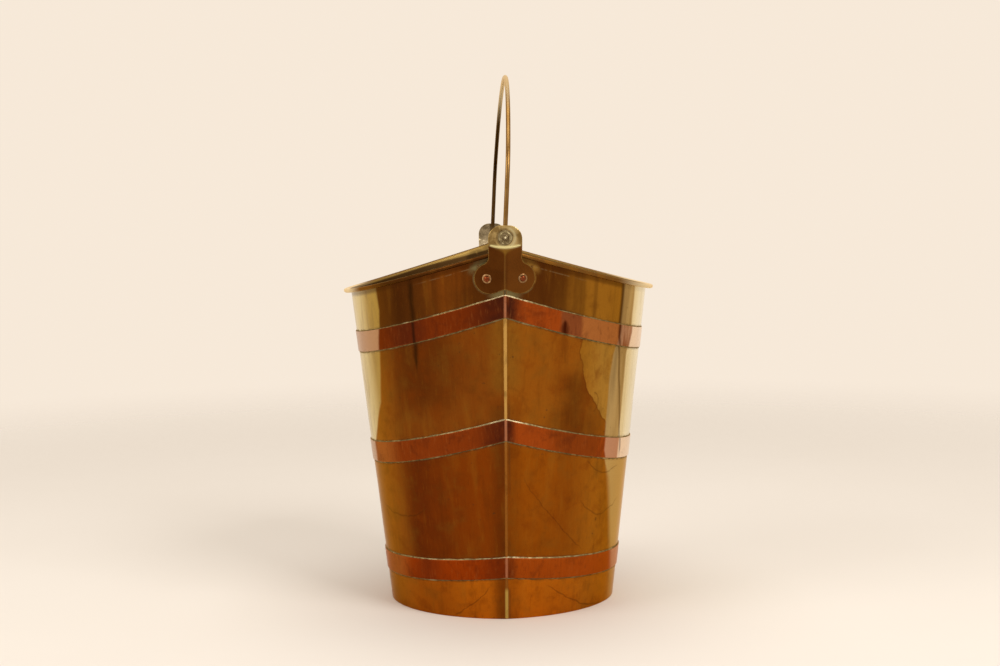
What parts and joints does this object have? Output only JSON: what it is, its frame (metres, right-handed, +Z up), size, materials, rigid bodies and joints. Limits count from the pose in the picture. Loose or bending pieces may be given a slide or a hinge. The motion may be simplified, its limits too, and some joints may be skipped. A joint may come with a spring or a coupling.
{
  "type": "peat bucket",
  "caption": "Boat-shaped sheet brass peat bucket with copper bands, a wired lip, riveted ears and a swinging rod bail, pointed at both ends.",
  "frame": {"origin": "on the floor, under the middle of the foot", "axes": "+Z up, X across the bucket, Y from ridge to ridge with the front ridge at -Y"},
  "size_m": [0.3258, 0.3724, 0.5487],
  "materials": {
    "sheet_brass": "polished sheet brass, aged to a warm amber, with fine scratches and stains",
    "bottom_brass": "dull sheet brass with dust and solder marks",
    "band_copper": "polished copper strip with a red tarnish and dark lines of dirt at its edges",
    "ear_brass": "dark aged brass, rubbed bright on its edges and bend",
    "rivet_copper": "hammered copper, worn on the crown",
    "rod_brass": "drawn brass rod, handled smooth",
    "washer_brass": "grey tarnished brass with turned rings",
    "iron_wire": "plain iron wire, closed in by the lip"
  },
  "bodies": {
    "bucket": {"body_left": "sheet_brass", "body_right": "sheet_brass", "bottom_plate": "bottom_brass", "rim_wire": "iron_wire", "top_band_left": "band_copper", "top_band_right": "band_copper", "middle_band_left": "band_copper", "middle_band_right": "band_copper", "bottom_band_left": "band_copper", "bottom_band_right": "band_copper", "front_ear": "ear_brass", "back_ear": "ear_brass", "front_ear_rivets": "rivet_copper", "back_ear_rivets": "rivet_copper"},
    "bail": {"bail": "rod_brass", "front_bail_washer": "washer_brass", "back_bail_washer": "washer_brass"}
  },
  "joints": [
    {"name": "bail_swing", "type": "hinge", "parent": "bucket", "child": "bail", "pos_m": [0, 0, 0.3827], "axis": [0, 1, 0], "range_deg": [-111, 104.8]}
  ]
}
